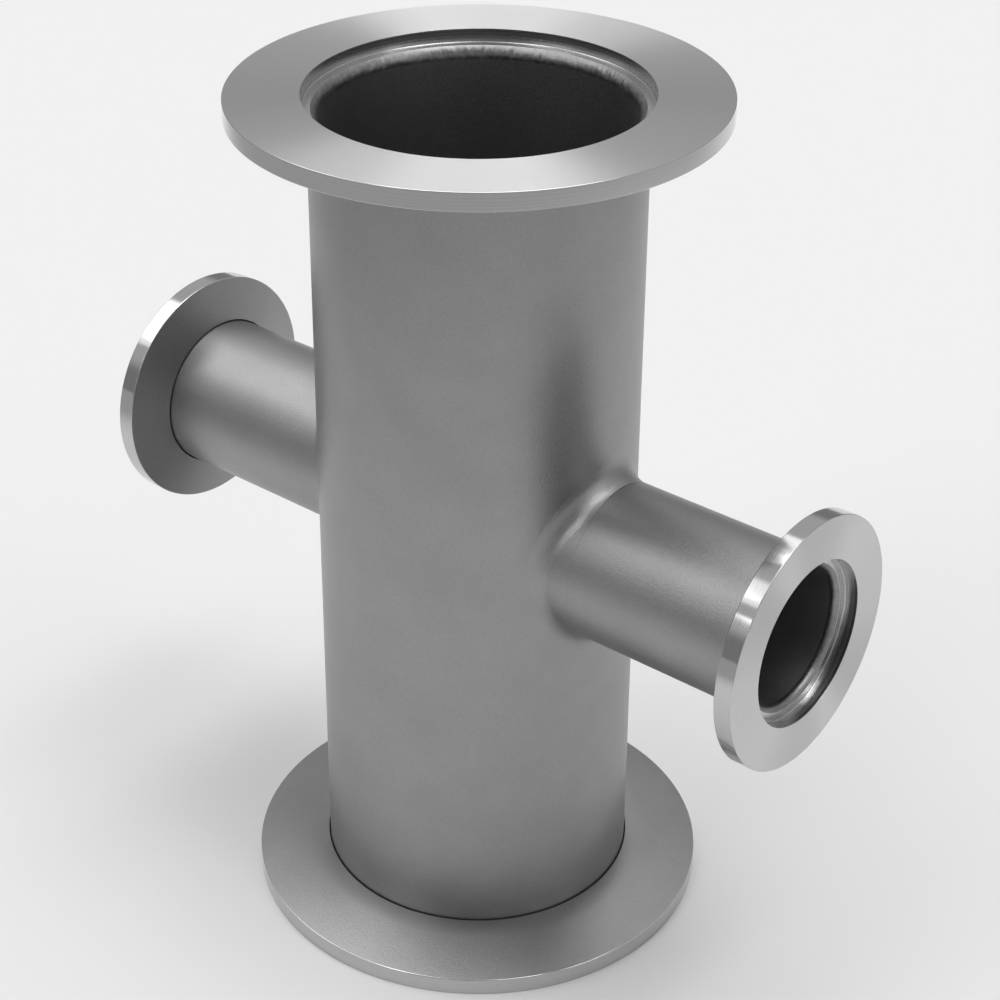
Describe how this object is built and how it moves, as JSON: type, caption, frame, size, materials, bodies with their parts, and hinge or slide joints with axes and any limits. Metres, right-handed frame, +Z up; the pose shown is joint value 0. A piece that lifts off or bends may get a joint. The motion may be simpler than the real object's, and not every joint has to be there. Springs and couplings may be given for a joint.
{
  "type": "reducing cross",
  "caption": "Stainless steel vacuum reducing cross: a straight flanged run of tube with smaller flanged branches on opposite sides, open from face to face.",
  "frame": {"origin": "centre of the bottom flange's sealing face, on the axis of the run", "axes": "+Z up along the run, +X along the right branch"},
  "size_m": [0.125, 0.075, 0.14],
  "materials": {
    "blasted_steel": "matt bead-blasted stainless steel tube",
    "turned_steel": "turned stainless steel with bright sealing faces and rims, and blasted backs",
    "weld_metal": "rippled stainless steel weld bead"
  },
  "bodies": {
    "root": {"main_tube": "blasted_steel", "top_flange": "turned_steel", "bottom_flange": "turned_steel", "left_flange": "turned_steel", "right_flange": "turned_steel", "left_branch_tube": "blasted_steel", "right_branch_tube": "blasted_steel", "top_flange_weld": "weld_metal", "bottom_flange_weld": "weld_metal", "left_flange_weld": "weld_metal", "right_flange_weld": "weld_metal", "left_branch_weld": "weld_metal", "right_branch_weld": "weld_metal"}
  },
  "joints": []
}
